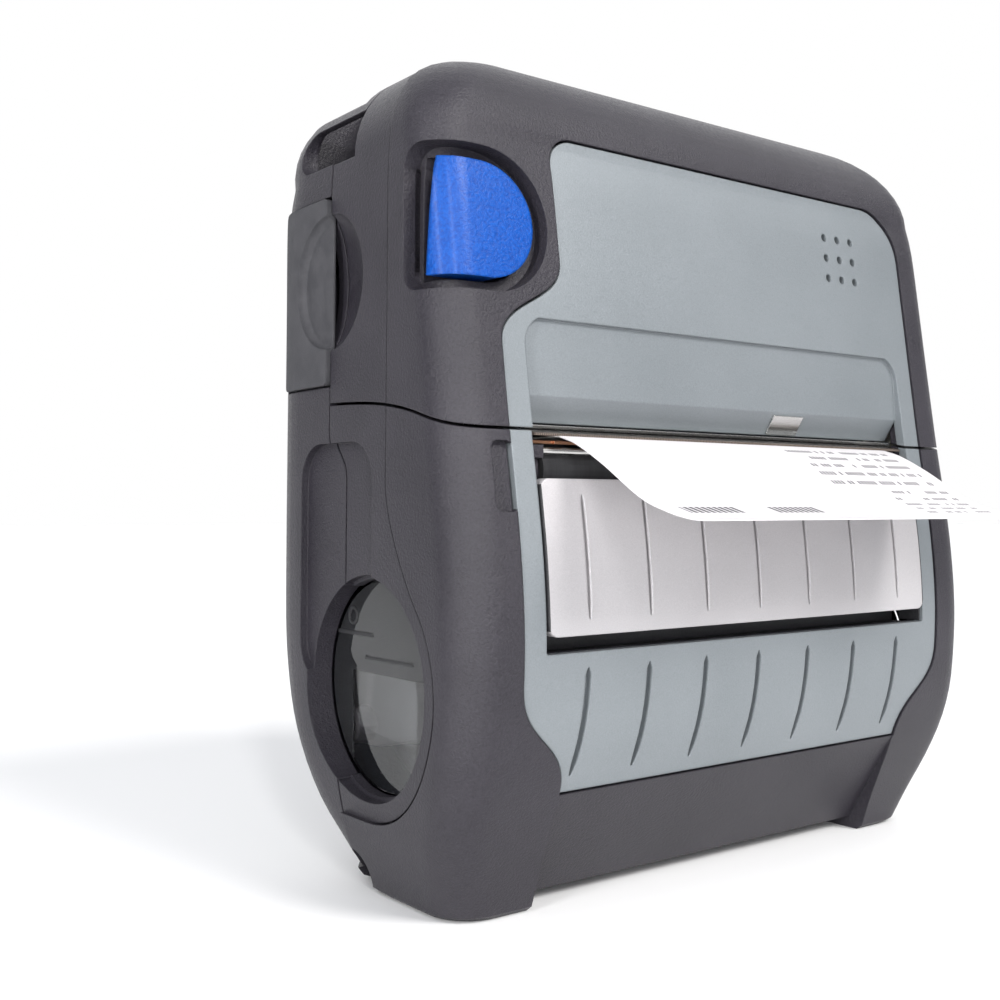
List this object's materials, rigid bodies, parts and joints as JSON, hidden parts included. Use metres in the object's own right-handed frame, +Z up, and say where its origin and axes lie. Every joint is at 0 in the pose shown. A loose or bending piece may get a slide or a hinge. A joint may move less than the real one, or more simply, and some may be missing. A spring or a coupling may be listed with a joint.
{
  "type": "mobile label printer",
  "caption": "Rugged portable label printer: shell on feet, hinged media cover with side windows and peel door, label roll, platen, print head, latch, removable battery",
  "frame": {"origin": "middle of the rear housing's flat foot, on the ground plane", "axes": "+Z up, the label comes out towards -Y, X runs across the labels"},
  "size_m": [0.155, 0.1143, 0.1713],
  "materials": {
    "charcoal_shell": "fine spark texture",
    "black_plastic": "satin",
    "grey_panel": "satin",
    "pearl_door": "satin",
    "blue_button": "glossy",
    "steel": "bright",
    "copper_brush": "dull copper",
    "clear_lens": "clear, smooth",
    "rubber": "matt",
    "gear_plastic": "satin",
    "paper": "matt paper",
    "cardboard": "matt card",
    "board": "solder mask",
    "soft_grey": "matt",
    "green_lamp": "clear"
  },
  "bodies": {
    "housing": {"upper_housing": "charcoal_shell", "upper_panel": "grey_panel", "rear_housing": "charcoal_shell", "rear_screw_1": "steel", "rear_screw_2": "steel", "rear_screw_3": "steel", "rear_screw_4": "steel", "usb_port": "steel", "power_jack": "black_plastic", "status_lamp": "green_lamp", "cover_hinge_pin": "steel", "inner_frame": "black_plastic", "guide_rod": "steel", "drive_motor": "steel", "main_board": "board", "battery_contacts": "copper_brush", "speaker": "black_plastic", "tear_bar": "steel", "label_sensor": "steel", "label_web": "paper", "printed_label": "paper"},
    "cover": {"cover_frame": "charcoal_shell", "cover_panel": "grey_panel", "door_pin": "steel", "lens_left": "clear_lens", "lens_right": "clear_lens", "platen_bearing_left": "steel", "platen_bearing_right": "steel", "peel_rod": "steel", "static_brush": "copper_brush"},
    "door": {"peel_door": "pearl_door"},
    "platen": {"platen_roller": "rubber", "platen_shaft": "steel", "platen_gear": "gear_plastic"},
    "idler": {"idler_gear": "gear_plastic"},
    "pinion": {"motor_pinion": "steel"},
    "button": {"release_button": "blue_button"},
    "latch": {"latch_shaft": "steel", "latch_hook_left": "steel", "latch_hook_right": "steel"},
    "head": {"print_head": "black_plastic", "head_bracket": "steel"},
    "flap": {"port_flap": "soft_grey"},
    "battery": {"battery_pack": "black_plastic"},
    "battery_catch": {"battery_latch": "black_plastic"},
    "power_button": {"power_key": "blue_button"},
    "feed_button": {"feed_key": "black_plastic"},
    "left_guide": {"guide_left": "black_plastic"},
    "right_guide": {"guide_right": "black_plastic"},
    "guide_gear": {"guide_pinion": "gear_plastic"},
    "roll": {"label_roll": "paper", "roll_core": "cardboard"}
  },
  "joints": [
    {"name": "cover_hinge", "type": "hinge", "parent": "housing", "child": "cover", "pos_m": [0, -0.004, 0.0042], "axis": [1, 0, 0], "range_deg": [0, 70]},
    {"name": "door_hinge", "type": "hinge", "parent": "cover", "child": "door", "pos_m": [0, -0.0454, 0.0576], "axis": [1, 0, 0], "range_deg": [0, 60]},
    {"name": "platen_spin", "type": "hinge", "parent": "cover", "child": "platen", "pos_m": [0, -0.036, 0.0864], "axis": [1, 0, 0], "continuous": true},
    {"name": "idler_spin", "type": "hinge", "parent": "housing", "child": "idler", "pos_m": [0, -0.02289, 0.10203], "axis": [1, 0, 0], "continuous": true},
    {"name": "pinion_spin", "type": "hinge", "parent": "housing", "child": "pinion", "pos_m": [0, -0.00995, 0.11497], "axis": [1, 0, 0], "continuous": true},
    {"name": "release_press", "type": "slide", "parent": "housing", "child": "button", "axis": [0, 1, 0], "range_m": [0, 0.004], "stiffness_N_per_m": 400},
    {"name": "latch_turn", "type": "hinge", "parent": "housing", "child": "latch", "pos_m": [0, -0.014, 0.096], "axis": [-1, 0, 0], "range_deg": [0, 6.3]},
    {"name": "head_float", "type": "hinge", "parent": "housing", "child": "head", "pos_m": [0, -0.026, 0.106], "axis": [-1, 0, 0], "range_deg": [0, 2.2], "stiffness_Nm_per_rad": 1},
    {"name": "flap_hinge", "type": "hinge", "parent": "housing", "child": "flap", "pos_m": [-0.076, 0.0196, 0.126], "axis": [0, 0, -1], "range_deg": [0, 100]},
    {"name": "battery_slide", "type": "slide", "parent": "housing", "child": "battery", "axis": [0, 1, 0], "range_m": [0, 0.022]},
    {"name": "battery_catch_slide", "type": "slide", "parent": "housing", "child": "battery_catch", "axis": [0, 0, 1], "range_m": [0, 0.0025], "stiffness_N_per_m": 300},
    {"name": "power_press", "type": "slide", "parent": "housing", "child": "power_button", "axis": [0, 0, -1], "range_m": [0, 0.0008], "stiffness_N_per_m": 800},
    {"name": "feed_press", "type": "slide", "parent": "housing", "child": "feed_button", "axis": [0, 0, -1], "range_m": [0, 0.0008], "stiffness_N_per_m": 800},
    {"name": "left_guide_slide", "type": "slide", "parent": "housing", "child": "left_guide", "axis": [-1, 0, 0], "range_m": [0, 0.0055], "stiffness_N_per_m": 100},
    {"name": "right_guide_slide", "type": "slide", "parent": "housing", "child": "right_guide", "axis": [1, 0, 0], "range_m": [0, 0.0055]},
    {"name": "guide_gear_turn", "type": "hinge", "parent": "housing", "child": "guide_gear", "pos_m": [0, 0.019, 0.052], "axis": [0, -1, 0], "range_deg": [0, 52.6]},
    {"name": "roll_spin", "type": "hinge", "parent": "housing", "child": "roll", "pos_m": [0, -0.015, 0.0405], "axis": [1, 0, 0], "continuous": true}
  ],
  "couplings": [
    {"joint": "idler_spin", "follows": "platen_spin", "ratio": -0.45},
    {"joint": "pinion_spin", "follows": "platen_spin", "ratio": 1.5},
    {"joint": "latch_turn", "follows": "release_press", "rad_per_m": 26.5},
    {"joint": "right_guide_slide", "follows": "left_guide_slide", "ratio": 1},
    {"joint": "guide_gear_turn", "follows": "left_guide_slide", "rad_per_m": 166.67}
  ]
}
